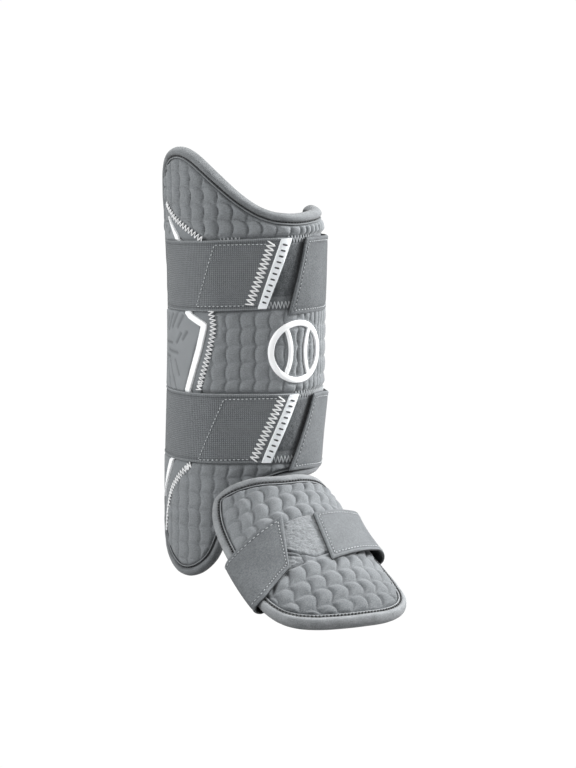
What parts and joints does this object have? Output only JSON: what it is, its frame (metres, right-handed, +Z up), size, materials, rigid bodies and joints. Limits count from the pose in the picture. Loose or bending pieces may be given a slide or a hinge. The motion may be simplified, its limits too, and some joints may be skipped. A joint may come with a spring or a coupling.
{
  "type": "batters leg guard",
  "caption": "Quilted shin channel with a raised outer peak and ankle flap, wide calf straps that close in front, and a strapped instep guard.",
  "frame": {"origin": "on the leg's axis, midway between the two calf straps", "axes": "+Z up along the leg, the toe towards -Y, the outer side of the leg towards -X"},
  "size_m": [0.1569, 0.2447, 0.3104],
  "materials": {
    "quilt": "matt quilted knit",
    "edge_tape": "matt stretch tape",
    "shield": "satin moulded",
    "white_trim": "satin moulded",
    "white_label": "woven",
    "dark_loop": "brushed loop",
    "light_loop": "brushed loop",
    "elastic": "woven elastic",
    "tab": "satin synthetic",
    "sole_webbing": "woven webbing"
  },
  "bodies": {
    "root": {"shin_shell": "quilt", "shin_binding": "edge_tape", "side_shield": "shield", "shield_stripe": "white_trim", "upper_landing": "dark_loop", "upper_strap": "elastic", "upper_label": "white_label", "upper_tab": "tab", "lower_landing": "dark_loop", "lower_strap": "elastic", "lower_label": "white_label", "lower_tab": "tab", "front_emblem": "white_trim", "foot_shell": "quilt", "foot_binding": "edge_tape", "foot_landing": "light_loop", "foot_tab_outer": "tab", "foot_tab_inner": "tab", "sole_strap": "sole_webbing", "ankle_tongue": "edge_tape"}
  },
  "joints": []
}
